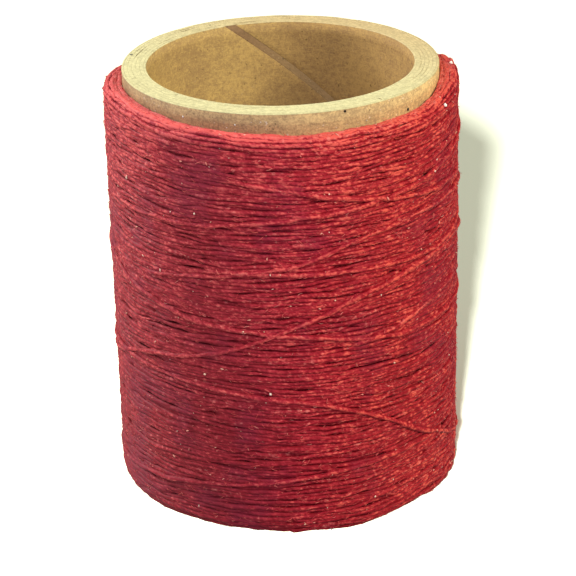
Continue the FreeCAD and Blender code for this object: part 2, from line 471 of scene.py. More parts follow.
ringRadius = sizesOf("buried_thread_layers")[0]
loopRadius, loopLow, loopHigh = sizesOf("outer_thread_layer")
strandRadius = (loopRadius - ringRadius) / 2
winding = dict(
    columns=720,               # places round the spool where the winding's height is kept
    step=0.05,                 # between such places along the outline
    face=24.87,                # radius where the centres of the outermost strands lie
    upperRounding=0.95,
    lowerRounding=0.80,
    tuck=15.0,                 # degrees that the end faces lean in towards the tube
    coreDepth=1.25,            # from those centres down to the plain core
    ripples=((0.61, 0.0), (0.66, 2.0), (0.57, 4.0)),    # width and phase of the waves on the core
    rippleDepth=0.05,
    fanStart=40.0,             # height above which the strands fan out to the upper edge
    fanEnd=20.0,               # and below which they do so to the lower one
    margins=(0.6, 0.9),        # strand radii that the centres keep from the outline's two ends
    fill=0.21,                 # mean height of the surface over those centres when the winding is full
    tries=40,                  # places tried for each run, of which the lowest is taken
    climb=(0.62, 1.6),         # millimetres per turn of most runs, and how many turns they have
    turns=(1.0, 2.6),
    steepShare=0.5,            # of the runs are steep, and the same two for those
    steepClimb=(3.0, 10.0),
    steepTurns=(0.4, 1.1),
    girth=(0.84, 1.12),        # radius of a run, as a share of strandRadius
    sink=0.10,                 # how far a strand presses into those under it
    squeeze=0.16,              # the most that a strand stands out over the outermost centres
    crossingSqueeze=0.42,
    nestReach=0.30,            # how far a strand slides sideways into a valley
    nestFall=0.03,             # how much lower a place has to be to draw it there
    wander=0.20,               # sideways drift over long stretches
    wanderLength=55,           # columns from one knot of it to the next
    sway=0.07,                 # and the same over short ones
    swayLength=18,
    # short runs for the deepest places: how many, width of the bell that finds them, least and most turns
    mends=((150, 12, 0.10, 0.28), (300, 5, 0.06, 0.16)),
    mendMargin=1.2,            # from the outline's ends to the nearest place that is mended
    edgeTurns=4,               # last turns along each edge, each half over the one before
    edgeSpacing=0.34,
    edgeStart=0.2,             # share of a turn round from azimuth 0
    edgeGirth=0.9,
    diveLength=16,             # columns over which the end of a run goes under
    diveDepth=1.1,
    leanAt=(220, 265, 310),    # azimuths that the lean table has a column for
    seed=11,
)
# How far the upper and the lower edge stand over the outline's own, by azimuth
edges = [
    (0, 0.93, -0.50), (8, 1.22, -0.30), (13, 1.03, -0.20), (19, 0.10, -0.20), (26, -0.75, -0.20),
    (40, -0.90, -0.20), (60, -0.50, -0.20), (100, 0.0, -0.20), (135, -0.30, -0.20), (158, -0.45, -0.20),
    (168, -0.10, -0.20), (178, 0.25, -0.25), (195, 0.60, -0.35), (208, 0.70, -0.28), (228, 0.10, -0.12),
    (242, -0.20, 0.10), (252, -0.27, -0.02), (275, -0.68, -0.16), (292, -0.52, -0.48), (302, -0.51, -0.38),
    (310, -0.50, -0.02), (320, -0.48, 0.03), (332, -0.20, -0.40), (340, 0.20, -0.70), (350, 0.68, -1.0),
    (357, 0.90, -0.90),
]
# How the strands lean, by height: the rise per length at each azimuth of leanAt, up to the right
lean = [
    (1.5, 0.0, 0.0, 0.0), (6, 0.03, 0.05, 0.04), (11, -0.02, 0.02, 0.0), (17, -0.04, -0.06, -0.03),
    (22, 0.03, -0.03, -0.02), (28, 0.03, 0.0, -0.04), (34, -0.05, -0.04, -0.03), (39, -0.02, 0.02, 0.05),
    (43, 0.0, 0.08, 0.09), (47, 0.02, 0.06, 0.03), (52, -0.02, -0.03, 0.01), (57, -0.02, -0.05, 0.0),
    (60.5, 0.0, 0.0, 0.0),
]
# Strands that cross over the rest: how much each stands out, and its points (azimuth, height)
crossings = [
    (0.45, [(192, 46.9), (215, 47.2), (245, 47.8), (262, 49.0), (282, 50.2), (300, 50.0)]),
    (0.6, [(240, 41.4), (262, 41.4), (279, 41.2), (301, 40.7), (325, 40.2), (350, 41.0), (375, 43.0)]),
    (0.55, [(215, 38.2), (238, 40.0), (253, 41.0), (265, 41.8), (279, 43.2), (289, 45.2), (305, 46.5),
            (320, 47.0), (345, 46.8), (372, 45.0)]),
    (0.6, [(250, 55.2), (268, 54.0), (280, 53.0), (293, 51.7), (308, 50.3), (328, 49.0), (352, 48.4)]),
    (0.55, [(268, 50.0), (285, 49.9), (301, 50.7), (318, 51.6), (337, 52.7), (360, 54.0), (388, 55.0)]),
    (0.5, [(168, 4.6), (198, 5.6), (225, 7.0), (245, 8.1), (263, 9.1), (280, 10.5), (302, 11.2),
           (330, 11.0)]),
    (0.6, [(286, 29.4), (300, 30.2), (311, 31.4), (323, 32.8), (350, 34.0)]),
    (0.75, [(168, 39.4), (190, 37.8), (202, 36.9), (211, 35.8), (222, 35.0), (237, 33.5), (253, 32.9),
            (265, 32.4), (276, 31.9), (287, 31.0), (300, 30.1), (313, 29.5), (338, 29.2), (366, 29.8)]),
    (0.7, [(160, 21.5), (184, 23.2), (212, 24.0), (235, 23.7), (253, 23.0), (266, 22.3), (279, 21.6),
           (287, 20.6), (295, 19.0), (305, 16.9), (314, 13.9), (325, 11.4), (336, 9.3), (352, 7.2),
           (374, 5.6)]),
    (0.9, [(160, 18.6), (180, 20.4), (198, 22.7), (212, 25.0), (219, 26.2), (229, 26.9), (238, 27.8),
           (250, 29.4), (261, 31.3), (272, 33.2), (280, 34.7), (289, 36.2), (301, 37.8), (313, 39.0),
           (324, 39.7), (336, 39.9), (352, 39.4), (376, 38.0)]),
]
step, columnCount = winding["step"], winding["columns"]


def windingOutline():
    # The winding's section as points every step: from the tube out along the lower end face, round the
    # lower shoulder, up the side, round the upper shoulder and in along the upper end face. With them goes
    # the direction that is outward at each.
    face, low, high = winding["face"], loopLow + strandRadius, loopHigh - strandRadius
    lowRound, highRound = winding["lowerRounding"], winding["upperRounding"]
    tuck = math.radians(winding["tuck"])
    start = tubeRadius + strandRadius * 0.4
    lowArc = np.linspace(-math.pi / 2 - tuck, 0, 40)
    highArc = np.linspace(0, math.pi / 2 + tuck, 40)
    radii = np.concatenate([face - lowRound * (1 - np.cos(lowArc)), face - highRound * (1 - np.cos(highArc))])
    heights = np.concatenate([low + lowRound * (1 + np.sin(lowArc)),
                              high - highRound * (1 - np.sin(highArc))])
    lowRoot = heights[0] + (radii[0] - start) * math.tan(tuck)
    highRoot = heights[-1] - (radii[-1] - start) * math.tan(tuck)
    radii = np.concatenate([[start], radii, [start]])
    heights = np.concatenate([[lowRoot], heights, [highRoot]])
    along = np.concatenate([[0], np.cumsum(np.hypot(np.diff(radii), np.diff(heights)))])
    places = np.arange(0, along[-1], step)
    radii, heights = np.interp(places, along, radii), np.interp(places, along, heights)
    slopeR, slopeZ = np.gradient(blur(radii, 4)), np.gradient(blur(heights, 4))
    size = np.hypot(slopeR, slopeZ)
    return radii, heights, slopeZ / size, -slopeR / size


outline = windingOutline()
rows = len(outline[0])
outlineLength = rows * step
firstPlace = strandRadius * winding["margins"][0]                   # where a strand's centre may lie
lastPlace = outlineLength - strandRadius * winding["margins"][1]
sideStart = np.argmax(outline[0] > winding["face"] - 0.001) * step
sideHeight = outline[1][int(sideStart / step)]
footprint = np.arange(-int(strandRadius / step), int(strandRadius / step) + 1)    # rows under a strand


def alongAt(height):
    # place on the outline's side for a height above the tube's lower end
    return height - sideHeight + sideStart


def evenly(column):
    # one edge's heights at every half degree, with its corners rounded off
    azimuths, heights = np.array(edges)[:, [0, column]].T
    degrees = np.arange(-90, 450, 0.5)
    return degrees[180:900], blur(np.interp(degrees, azimuths, heights, period=360), 8)[180:900]


upperEdge, lowerEdge = evenly(1), evenly(2)


def placeOf(azimuth, along, height):
    # points of the winding in millimetres, from azimuth in radians, place on the outline and height over it
    radius, z, outwardR, outwardZ = (np.interp(along / step, np.arange(rows), values) for values in outline)
    radius = radius + height * outwardR
    z = z + height * outwardZ
    # the further up or down, the more a point follows the upper or the lower edge
    upper = smooth((z - winding["fanStart"]) / (loopHigh - winding["fanStart"]))
    lower = smooth((winding["fanEnd"] - z) / (winding["fanEnd"] - loopLow))
    atUpper, atLower = (np.interp(np.degrees(azimuth), *edge, period=360) for edge in (upperEdge, lowerEdge))
    z = z + upper * atUpper + lower * atLower
    return np.stack([radius * np.cos(azimuth), radius * np.sin(azimuth), z], -1)


def leanField():
    # Sideways shift of a strand for each column and home height, as three waves round the spool whose
    # slopes at three azimuths are those of the lean table, with the smallest waves that do it.
    table = np.array(lean)
    waves = np.arange(1, 4)
    angles = np.radians(winding["leanAt"])[:, None] * waves
    slopes = np.concatenate([-waves * np.sin(angles), waves * np.cos(angles)], 1)
    weights = np.concatenate([1 / waves, 1 / waves])
    shares = (np.linalg.pinv(slopes * weights) @ (table[:, 1:] * winding["face"]).T).T * weights
    homes = np.arange(rows) * step
    byHome = np.stack([blur(np.interp(homes, alongAt(table[:, 0]), share), 30) for share in shares.T], 1)
    around = np.arange(columnCount)[:, None] * turn / columnCount * waves
    return np.concatenate([np.cos(around), np.sin(around)], 1) @ byHome.T


def underStrand(along, radius):
    # the surface's rows under a strand, how far each is from its middle, and its half section's height there
    row = np.clip(np.rint(along / step).astype(int)[..., None] + footprint, 0, rows - 1)
    across = footprint * step
    return row, np.abs(across), np.sqrt(np.maximum(radius ** 2 - across ** 2, 0))


def restHeight(surface, columns, along, radius):
    # height of a strand's centre where it touches the surface: the highest, over its width, of the
    # surface there plus the strand's own half section
    row, _, arch = underStrand(along, radius)
    return (surface[columns[..., None], row] + arch).max(-1)


def press(surface, columns, along, height, radius):
    # raises the surface under a strand to the strand's upper side
    row, across, arch = underStrand(along, radius)
    arch = np.where(across < radius, arch, -np.inf)
    np.maximum.at(surface, (columns[:, None], row), height[:, None] + arch)


def squeezed(height, most):
    # heights over 0 are drawn in, so that they come near most and no higher
    return np.where(height > 0, most * np.tanh(height / most), height)


def layRun(surface, first, along, radius, tone, nests=True, crossing=False):
    # Lays one run on the surface, turn by turn: each strand slides into the valley beside it, takes the
    # height at which it rests, keeps that smooth along its length and dives under at both ends.
    total = len(along)
    columns = (first + np.arange(total)) % columnCount
    laid, heights = along.copy(), np.zeros(total)
    ends = np.minimum(np.arange(total), np.arange(total)[::-1])
    dive = winding["diveDepth"] * (1 - smooth(ends / winding["diveLength"]))
    shifts = np.linspace(-winding["nestReach"], winding["nestReach"], 13)
    most = winding["crossingSqueeze" if crossing else "squeeze"]
    nearlyTurn = columnCount - 20      # so that each turn lies on the one before
    for begin in range(0, total, nearlyTurn):
        here = slice(begin, begin + nearlyTurn)
        before = slice(max(0, begin - 24), begin)
        if nests:
            options = restHeight(surface, columns[here][:, None], laid[here][:, None] + shifts, radius)
            fall = options - options.min(1, keepdims=True)
            pull = np.exp(-fall / winding["nestFall"] - (shifts / 0.25) ** 2)
            slide = (pull * shifts).sum(1) / pull.sum(1)
            slide = blurOn((laid - along)[before], slide, 7)
            laid[here] = np.clip(along[here] + slide, firstPlace, lastPlace)
        resting = restHeight(surface, columns[here], laid[here], radius)
        even = blurOn(heights[before], resting, 5)
        heights[here] = squeezed(np.maximum(even, resting - winding["sink"]), most)
        shown = dive[here] < 0.3
        press(surface, columns[here][shown], laid[here][shown], heights[here][shown], radius)
    return dict(first=first, columns=columns, along=laid, height=heights - dive, radius=radius, tone=tone,
                crossing=crossing)


def windRuns(surface, shifts):
    # Fills the winding with runs of a few turns. Each is the one of several tries that lies lowest.
    rng = np.random.default_rng(winding["seed"])
    runs = []
    while surface.mean() < winding["fill"]:
        best = None
        radius = strandRadius * rng.uniform(*winding["girth"])
        steep = rng.random() < winding["steepShare"]
        climb = rng.uniform(*winding["steepClimb" if steep else "climb"]) * rng.choice([-1, 1])
        for _ in range(winding["tries"]):
            total = int(columnCount * rng.uniform(*winding["steepTurns" if steep else "turns"]))
            first = int(rng.integers(columnCount))
            home = rng.uniform(firstPlace - 1, lastPlace + 1) + climb * (np.arange(total) / columnCount)
            home = np.clip(home, firstPlace, lastPlace)
            columns = (first + np.arange(total)) % columnCount
            shift = shifts[columns, np.clip((home / step).astype(int), 0, rows - 1)]
            ease = smooth(np.minimum(home - firstPlace, lastPlace - home) / 3)    # less near the two ends
            along = np.clip(home + ease * shift, firstPlace, lastPlace)
            score = restHeight(surface, columns[::6], along[::6], radius).mean()
            if best is None or score < best[0]:
                best = (score, first, along, ease)
        _, first, along, ease = best
        sway = winding["wander"] * drift(len(along), winding["wanderLength"], rng) \
            + winding["sway"] * drift(len(along), winding["swayLength"], rng)
        along = np.clip(along + (0.2 + 0.8 * ease) * sway, firstPlace, lastPlace)
        runs.append(layRun(surface, first, along, radius, rng.normal(0, 1)))
    return runs


def mendHollows(surface):
    # Short runs laid one by one in the deepest places that are left, found as the lowest mean under a bell.
    rng = np.random.default_rng(winding["seed"] + 3)
    margin = int(winding["mendMargin"] / step)
    runs = []
    for number, width, shortest, longest in winding["mends"]:
        bell = np.exp(-0.5 * (np.arange(-30, 31) / width) ** 2)
        for _ in range(number):
            coarse = surface[::4, margin:-margin:2]
            around = np.concatenate([coarse[-30:], coarse, coarse[:30]])
            means = np.apply_along_axis(np.convolve, 0, around, bell / bell.sum(), "valid")
            column, row = np.unravel_index(means.argmin(), means.shape)
            total = int(rng.uniform(shortest, longest) * columnCount)
            along = (row * 2 + margin) * step + 0.12 * drift(total, 40, rng)
            first = (column * 4 - total // 2) % columnCount
            radius = strandRadius * rng.uniform(*winding["girth"])
            runs.append(layRun(surface, first, along, radius, rng.normal(-0.3, 1)))
        print("hollows: the deepest that is left lies at %.2f mm" % means.min())
    return runs


def windEdges(surface):
    # The last turns along each edge, so that it ends in strands that run level with it.
    rng = np.random.default_rng(winding["seed"] + 4)
    turns = np.arange(columnCount * winding["edgeTurns"]) / columnCount
    first = int(winding["edgeStart"] * columnCount)
    runs = []
    for start, climb in ((firstPlace, 1), (lastPlace, -1)):
        along = start + climb * winding["edgeSpacing"] * turns + 0.03 * drift(len(turns), 40, rng)
        along = np.clip(along, firstPlace, lastPlace)
        runs.append(layRun(surface, first, along, strandRadius * winding["edgeGirth"], 0.6, nests=False))
    return runs


def windCrossings(surface):
    # The strands that cross over the rest, each laid along a smooth line through its given points. The
    # more one stands out, the thicker and lighter it is.
    rng = np.random.default_rng(winding["seed"] + 1)
    perDegree = columnCount / 360
    runs = []
    for share, route in crossings:
        azimuths, heights = np.array(route).T
        total = int((azimuths[-1] - azimuths[0]) * perDegree)
        along = np.interp(np.arange(total) / perDegree + azimuths[0], azimuths, alongAt(heights))
        along = blur(along, 9) + 0.05 * drift(total, 30, rng)
        runs.append(layRun(surface, int(azimuths[0] * perDegree), along, strandRadius * (0.9 + 0.25 * share),
                           2.0 + 3.2 * share, nests=False, crossing=True))
    return runs


# Strands as meshes

strand = dict(
    sides=8,
    ringEvery=3,               # columns from one ring of points to the next
    flatten=0.06,              # wider than high by this share each way
    girth=1.06,                # of a strand, as a share of its run's, and the least and most that it may be
    girthRange=(0.72, 1.36),
    endGirth=0.55,             # of the two rings at the ends of a stretch
    plyDepth=0.03,             # how far the twist's two lobes stand out
    plyLength=2.3,             # millimetres along the strand from one lobe to the next
    lumpDepth=0.10,            # unevenness of the spun thread, and its length in columns
    lumpLength=26,
    fineDepth=0.16,
    fineLength=7,
    waver=0.06,                # how far a strand wavers sideways, and up and down
    heave=0.05,
    waverLength=9,
    deepTone=0.6,              # painted shade: how much darker a strand is per millimetre that it lies under the top
    hiddenMargin=10,           # columns kept on each side of what shows
    shortest=12,               # shorter stretches are left out
    wornEdge=3.0,              # millimetres of the outline, from its upper end, that are painted lighter and paler as painted light from above; the next two say how much
    wornTone=15.0,
    wornDust=2.0,
    zones=8,                   # pieces that the strands are shared out to, from the bottom up
)
threadTones = [
    (0.0, (0.19, 0.002, 0.008)), (0.28, (0.235, 0.004, 0.014)), (0.52, (0.300, 0.009, 0.021)),
    (0.74, (0.385, 0.022, 0.035)), (1.0, (0.60, 0.080, 0.074)),
]


def shownStretches(run, surface):
    # Where a run shows, which is where the finished surface is somewhere over its width no higher than it,
    # and the stretches of it that are worth a mesh.
    row, across, arch = underStrand(run["along"], run["radius"])
    over = surface[run["columns"][:, None], row] - (run["height"][:, None] + arch)
    shows = (over[:, across < run["radius"] * 0.98] < 0.03).any(1)
    wide = np.convolve(shows, np.ones(2 * strand["hiddenMargin"] + 1), mode="same") > 0
    ends = np.flatnonzero(np.diff(np.concatenate([[False], wide, [False]]).astype(int)))
    return shows, [(a, b) for a, b in zip(ends[::2], ends[1::2]) if b - a > strand["shortest"]]


def strandTube(run, begin, end, rng):
    every = strand["ringEvery"]
    count = end - begin
    along, height = run["along"][begin:end], run["height"][begin:end]
    lumps = (strand["lumpDepth"] * drift(count, strand["lumpLength"], rng)
             + strand["fineDepth"] * drift(count, strand["fineLength"], rng))
    radius = run["radius"] * np.clip(strand["girth"] + lumps, *strand["girthRange"])
    waver = strand["waver"] * drift(count, strand["waverLength"], rng)
    heave = strand["heave"] * drift(count, strand["waverLength"], rng)
    azimuth = (run["first"] + np.arange(begin, end)) * turn / columnCount
    path = placeOf(azimuth, along + waver, height + heave)
    outward = placeOf(azimuth, along, height + 1) - placeOf(azimuth, along, height)
    length = np.concatenate([[0], np.cumsum(np.linalg.norm(np.diff(path, axis=0), axis=1))])
    length = length + rng.uniform(0, 50)
    taper = np.minimum(np.arange(count), np.arange(count)[::-1]) / every
    radius = radius * np.where(taper < 1, strand["endGirth"], 1.0)
    phase = turn * length / strand["plyLength"] + rng.uniform(0, turn)
    # painted light along the upper edge, where the strands face up into the light
    paintedTopLight = smooth(1 - (outlineLength - along) / strand["wornEdge"])
    dust = 0.5 + 0.5 * drift(count, 40, rng) + strand["wornDust"] * paintedTopLight
    # the tone: random, with painted shade where a strand lies deep and painted light along the upper edge
    tone = run["tone"] + 0.25 * drift(count, 30, rng) + 0.4 * drift(count, 6, rng) \
        + strand["deepTone"] * np.minimum(height - winding["squeeze"], 0) + strand["wornTone"] * paintedTopLight
    keep = np.arange(0, count, every)
    rings = ringsAlong(path[keep], outward[keep], radius[keep], strand["sides"], phase[keep],
                       strand["plyDepth"], strand["flatten"])
    return rings, length[keep], np.stack([tone, dust], -1)[keep]


def coreMesh(surface):
    # The plain inside of the winding: the surface that the winding starts from, carried round the axis and
    # closed along the tube, just outside which it stays.
    nearest = tubeRadius + 0.02
    azimuth = np.arange(0, columnCount, 3) * turn / columnCount
    grid = placeOf(azimuth[:, None], np.arange(0, rows, 4) * step, surface[::3, ::4])
    radius = np.hypot(grid[..., 0], grid[..., 1])[..., None]
    grid[..., :2] *= np.maximum(radius, nearest) / radius
    ends = grid[:, [-1, 0]].copy()
    ends[..., :2] *= nearest / np.hypot(ends[..., 0], ends[..., 1])[..., None]
    grid = np.concatenate([grid, ends], 1)
    count, loop = grid.shape[:2]
    quads = tubeQuads(count + 1, loop)[0] % (count * loop)
    corners = grid.reshape(-1, 3)[quads]
    # the lay map: strands 0.6 apart lie one above the other, and run round the spool
    lay = np.stack([corners[..., 2] / 0.6, np.arctan2(corners[..., 1], corners[..., 0]) * 24], -1)
    # its tone of -1 makes it darker, as painted shade deep in the gaps between strands
    return makeMesh("winding_core", grid, quads, {"lay": lay},
                    {"tone": np.full(count * loop, -1.0), "dust": np.zeros(count * loop)})


def threadFinish():
    # Waxed thread: plies twisted together, fibres along them, slubs, and dye in clouds, stains and speckles,
    # the fine ones stronger towards the two sides as painted light and shade between the strands. The crown
    # of each strand has a painted highlight and its flanks painted shade. What lies high up has painted
    # light, most of all the upper edge except on the right; the left has painted shade and the right painted
    # warm light. Dust pales it, the dust mark carries painted light along the upper edge too, and a painted
    # sheen pales the left.
    finish = Finish("waxed thread", Specular_IOR_Level=0.12, Sheen_Weight=0.05, Sheen_Roughness=0.30,
                    Sheen_Tint=(1.0, 0.74, 0.78))
    own = finish.place((1000, 1000, 1000))                       # millimetres
    aside, _, above = finish.parts(own)
    around, along, _ = finish.parts(finish.node("ShaderNodeUVMap", {"uv_map": "lay"}))
    fibre = finish.noise(finish.place((5, 1.3, 1), (0, 0, 0.35), "lay"), 1.0, 3.0, 0.6)
    slub = finish.noise(finish.place((1.2, 0.8, 1), (0, 0, 0.2), "lay"), 1.0, 3.0, 0.6)
    cloud = finish.noise(own, 0.055, 2.0)
    stain = finish.noise(own, 0.13, 3.0, 0.6)
    patch = finish.noise(own, 0.36, 3.0, 0.6)
    speckle = finish.noise(own, 1.6, 2.0, 0.6)
    ply = ((around * 3 + along / 0.85 + slub * 2.5) * math.pi).sine().size()
    # painted highlight along the crown of each strand, painted shade on its flanks
    paintedCrownLight = ((around * 2 + 0.5) * math.pi).sine().between(0.55, 0.96)
    uneven = (patch - 0.5) * 0.55 + (speckle - 0.5) * 0.8 + (fibre - 0.5) * 1.4 + (slub - 0.5) * 1.3
    # the fine unevenness grows towards the two sides as painted light and shade between the strands
    paintedSideContrast = aside.between(-8, 20) * 0.45 + aside.between(-6, -20) * 0.35 + 1.0
    # painted light along the upper edge, except on the right
    paintedEdgeLight = above.between(58.0, 60.3) * aside.between(24, 6)
    # painted light that grows with height, less towards the right
    paintedLightHigh = (above - 31) * (1 - aside * 0.03)
    # painted shade on the left
    paintedLeftShade = aside.between(6, -14)
    light = finish.mark("tone") * 0.05 + (cloud - 0.5) * 0.2 + (stain - 0.5) * 0.35 + (ply - 0.64) * 0.20 \
        + uneven * paintedSideContrast + paintedCrownLight * 0.44 + paintedEdgeLight * 0.17 + paintedLightHigh * 0.0036 - paintedLeftShade * 0.05 + 0.165
    base = finish.ramp(light, threadTones)
    cold = (1 - stain * 0.6 - cloud * 0.4).between(0.48, 0.64)
    base = finish.mix(cold * 0.5, base, (0.19, 0.010, 0.035))
    base = finish.mix(aside.between(-6, 16), base, (1.0, 1.0, 0.72), "MULTIPLY")    # painted warm light on the right
    # dust pales it; along the upper edge the dust mark also carries painted light
    dustAndTopLightShare = (speckle * 0.55 + fibre * 0.45 + finish.mark("dust") * 0.07).between(0.60, 0.78)
    base = finish.mix(dustAndTopLightShare * 0.3, base, (0.74, 0.30, 0.25))
    # painted sheen that pales the left side
    base = finish.mix(aside.between(6, -20) * (slub + 0.4) * 0.04, base, (0.62, 0.42, 0.36))
    normal = finish.bump(ply * 0.3 + fibre * 0.7 + speckle * 0.6, 0.00008, 0.9)
    return finish.close(Base_Color=base, Roughness=0.42 + patch * 0.3, Normal=normal)


def makeWinding():
    # returns the rings of points of the strands that show, for the fibres and crumbs to lie on
    rng = np.random.default_rng(winding["seed"] + 2)
    places = np.arange(rows) * step
    ripple = sum(np.sin(places * turn / width + phase) for width, phase in winding["ripples"])
    surface = np.full((columnCount, rows), -winding["coreDepth"])
    surface += winding["rippleDepth"] * ripple
    thread = threadFinish()
    finishPiece(coreMesh(surface), thread, "waxed_thread", "buried_thread_layers")
    shifts = leanField()
    print("lean: least spacing share %.2f" % (1 + np.diff(shifts, axis=1).min() / step))
    runs = windRuns(surface, shifts)
    runs += mendHollows(surface)
    runs += windEdges(surface)
    runs += windCrossings(surface)
    print("winding: %d runs, %.1f turns" % (len(runs), sum(len(run["along"]) for run in runs) / columnCount))
    print("its surface stands at %s mm" % np.round(np.percentile(surface, [1, 10, 50, 90, 99]), 2))
    tubes, shownRings = {}, []
    for run in runs:
        shows, stretches = shownStretches(run, surface)
        for begin, end in stretches:
            tube = strandTube(run, begin, end, rng)
            zone = int(run["along"][begin:end].mean() / outlineLength * strand["zones"])
            tubes.setdefault(strand["zones"] if run["crossing"] else zone, []).append(tube)
            shownRings.append(tube[0][shows[begin:end:strand["ringEvery"]]])
    for zone in sorted(tubes):
        crossing = zone == strand["zones"]
        name = "crossing_strands" if crossing else "strands_%d" % (zone + 1)
        piece = joinTubes(name, tubes[zone], strand["sides"], 6 if crossing else 40)
        finishPiece(piece, thread, "waxed_thread",
                    "crossing_thread_turns" if crossing else "outer_thread_layer")
        print("%s: %d stretches, %d triangles" % (name, len(tubes[zone]), 2 * len(piece.data.polygons)))
    return np.concatenate(shownRings)


# Loose fibres and crumbs on the thread

fluff = dict(
    hairs=13000,
    hairLength=(0.3, 1.0),
    hairRadius=(0.016, 0.042),
    hairLift=(0.03, 0.15),     # how far a fibre's arch stands off the strand
    hairSunk=0.012,            # how far its ends are sunk in it
    hairTurn=0.5,              # radians that it lies across the strand
    hairBend=0.08,             # sideways, as a share of its length
    hairSpread=1.1,            # radians from the top of a strand that fibres start at
    freeShare=0.12,            # fibres with one end in the air
    freeLift=(0.15, 0.45),
    pieces=3,
    crumbs=1100,               # specks of wax and lint
    crumbRadius=(0.035, 0.12),
    crumbSpread=(0.25, 0.9),   # as above, for the larger specks and for the crumbs
    crumbLength=(1.3, 3.2),    # half of it, at most and in their own radii
    lumpRadius=25.5,           # where the larger specks are before each goes to the nearest strand
    seed=23,
)
# The larger specks: azimuth, height, radius and tone. A height above the winding puts one on top of
# its upper edge.
# The first two, near white, stand for glints: painted highlights on and near the upper edge.
lumps = [
    (334, 60.0, 0.24, 1.0), (2, 70.0, 0.24, 0.95), (212, 51.5, 0.20, 0.8), (241, 49.2, 0.15, 0.85),
    (243, 25.5, 0.17, 0.75), (265, 23.0, 0.17, 0.9), (257, 32.6, 0.12, 0.8), (284, 53.0, 0.12, 0.85),
    (307, 25.2, 0.13, 0.7), (286, 37.4, 0.12, 0.75), (299, 5.0, 0.14, 0.8), (274, 2.6, 0.14, 0.7),
    (327, 14.0, 0.12, 0.7), (325, 52.2, 0.13, 0.85), (318, 41.0, 0.12, 0.65), (20, 30.0, 0.16, 0.8),
    (75, 47.0, 0.14, 0.9), (120, 18.0, 0.17, 0.7), (160, 38.0, 0.13, 0.8),
]
fibreTones = [
    (0.0, (0.28, 0.012, 0.018)), (0.4, (0.48, 0.035, 0.040)), (0.75, (0.66, 0.12, 0.10)),
    (1.0, (0.74, 0.30, 0.24)),
]
crumbTones = [
    (0.0, (0.56, 0.11, 0.09)), (0.4, (0.70, 0.25, 0.19)), (0.65, (0.76, 0.40, 0.26)),
    (0.85, (0.82, 0.58, 0.44)), (1.0, (0.92, 0.86, 0.76)),
]


def footingOf(chosen, rng, spread):
    # places on the upper sides of some rings of strands, with the strand's own three directions there
    middle = chosen.mean(1)
    up = unit(chosen[:, 0] - middle)
    aside = unit(chosen[:, len(chosen[0]) // 4] - middle)
    radius = np.linalg.norm(chosen[:, 0] - middle, axis=1)
    tilt = rng.uniform(-spread, spread, len(chosen))
    outward = up * np.cos(tilt)[:, None] + aside * np.sin(tilt)[:, None]
    ahead = np.cross(up, aside)
    return middle + outward * radius[:, None], outward, ahead, np.cross(ahead, outward)


def makeHairs(rings, rng):
    # Each is an arch over the strand, or a curl with one end in the air.
    count = fluff["hairs"]
    chosen = rings[rng.integers(0, len(rings), count)]
    root, outward, ahead, aside = footingOf(chosen, rng, fluff["hairSpread"])
    share = np.linspace(0, 1, 4)
    length = rng.uniform(*fluff["hairLength"], count)[:, None]
    heading = rng.normal(0, fluff["hairTurn"], count)[:, None]
    free = rng.random(count)[:, None] < fluff["freeShare"]
    lift = np.where(free, rng.uniform(*fluff["freeLift"], (count, 1)) * share ** 1.6,
                    rng.uniform(*fluff["hairLift"], (count, 1)) * 4 * share * (1 - share) - fluff["hairSunk"])
    bend = rng.normal(0, fluff["hairBend"], count)[:, None] * length * (4 * share * (1 - share))
    forward = (share - 0.5) * length
    along = forward * np.cos(heading) - bend * np.sin(heading)
    across = forward * np.sin(heading) + bend * np.cos(heading)
    path = root[:, None] + along[..., None] * ahead[:, None] + across[..., None] * aside[:, None] \
        + lift[..., None] * outward[:, None]
    thickness = rng.uniform(*fluff["hairRadius"], count)[:, None] * np.array([0.6, 1, 1, 0.5])
    hairs = ringsAlong(path, np.broadcast_to(outward[:, None], path.shape), thickness, 4)
    tone = rng.normal(0.2, 1.0, count)
    tubes = [(hair, far, np.full((4, 2), mark)) for hair, far, mark in zip(hairs, share * length, tone)]
    finish = Finish("loose fibre", Roughness=0.6, Specular_IOR_Level=0.3)
    fibre = finish.close(Base_Color=finish.ramp(finish.mark("tone") * 0.18 + 0.47, fibreTones))
    for part in range(fluff["pieces"]):
        piece = joinTubes("loose_fibres_%d" % (part + 1), tubes[part::fluff["pieces"]], 4, 100)
        finishPiece(piece, fibre, "waxed_thread")


